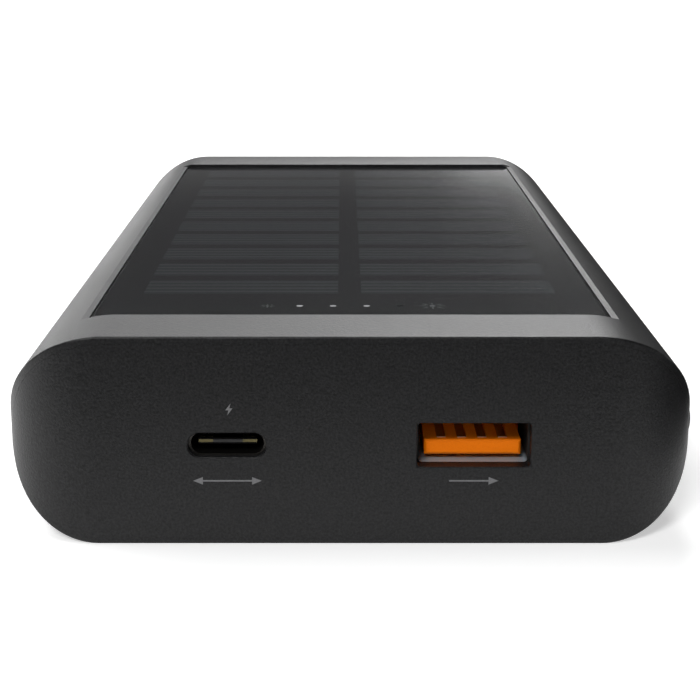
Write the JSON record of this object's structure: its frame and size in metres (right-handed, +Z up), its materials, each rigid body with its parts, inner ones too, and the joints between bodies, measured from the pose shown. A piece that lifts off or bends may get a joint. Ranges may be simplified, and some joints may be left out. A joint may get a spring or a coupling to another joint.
{
  "type": "solar phone charger",
  "caption": "Flat solar power bank with round sides and square ends: solar panel in a recessed top, USB-C and USB-A sockets in one end, level lights and a side power button.",
  "frame": {"origin": "middle of the flat underside, on the surface that the charger lies on", "axes": "+X across the width, towards the side with the power button; +Y along the length, away from the end with the sockets; +Z up, out of the solar panel"},
  "size_m": [0.0807, 0.15, 0.0245],
  "materials": {
    "housing": "fine-textured matt anthracite moulding",
    "button": "matt anthracite moulding",
    "panel_glass": "clear, faintly smoked, glossy",
    "solar_cell": "black silicon with fine printed lines",
    "tinned_copper": "satin tinned strip",
    "panel_backing": "black laminate",
    "adhesive": "double-sided tape",
    "led": "small moulded light-emitting diode",
    "light_guide": "clear moulding",
    "circuit_board": "green solder mask",
    "screw_steel": "plated steel",
    "socket_steel": "plated steel sheet",
    "orange_plastic": "orange moulding",
    "black_plastic": "black moulding",
    "white_plastic": "white moulding",
    "contact_gold": "gold-plated",
    "ferrite": "moulded ferrite",
    "capacitor_can": "bright can",
    "battery_pouch": "laminated foil pouch",
    "foam_rubber": "soft black foam",
    "red_wire": "sleeved wire",
    "black_wire": "sleeved wire"
  },
  "bodies": {
    "case": {"battery_cell_lower": "battery_pouch", "battery_cell_upper": "battery_pouch", "battery_foam": "foam_rubber", "battery_lead_black": "black_wire", "battery_lead_red": "red_wire", "battery_pads": "foam_rubber", "battery_tabs": "tinned_copper", "battery_tape": "adhesive", "board_screws": "screw_steel", "bottom_shell": "housing", "capacitors": "capacitor_can", "cell_ribbons": "tinned_copper", "controller_chips": "black_plastic", "indicator_leds": "led", "light_guide": "light_guide", "main_board": "circuit_board", "panel_adhesive": "adhesive", "power_inductor": "ferrite", "protection_board": "circuit_board", "solar_backing": "panel_backing", "solar_cells": "solar_cell", "solar_glass": "panel_glass", "solar_lead_black": "black_wire", "solar_lead_red": "red_wire", "tact_switch": "black_plastic", "top_shell": "housing", "usb_a_contacts": "contact_gold", "usb_a_shell": "socket_steel", "usb_a_tongue": "orange_plastic", "usb_c_contacts": "contact_gold", "usb_c_shell": "socket_steel", "usb_c_tongue": "black_plastic"},
    "button": {"power_button": "button", "switch_plunger": "white_plastic"}
  },
  "joints": [
    {"name": "button_press", "type": "slide", "parent": "case", "child": "button", "axis": [-1, 0, 0], "range_m": [0, 0.0006], "stiffness_N_per_m": 2700}
  ]
}
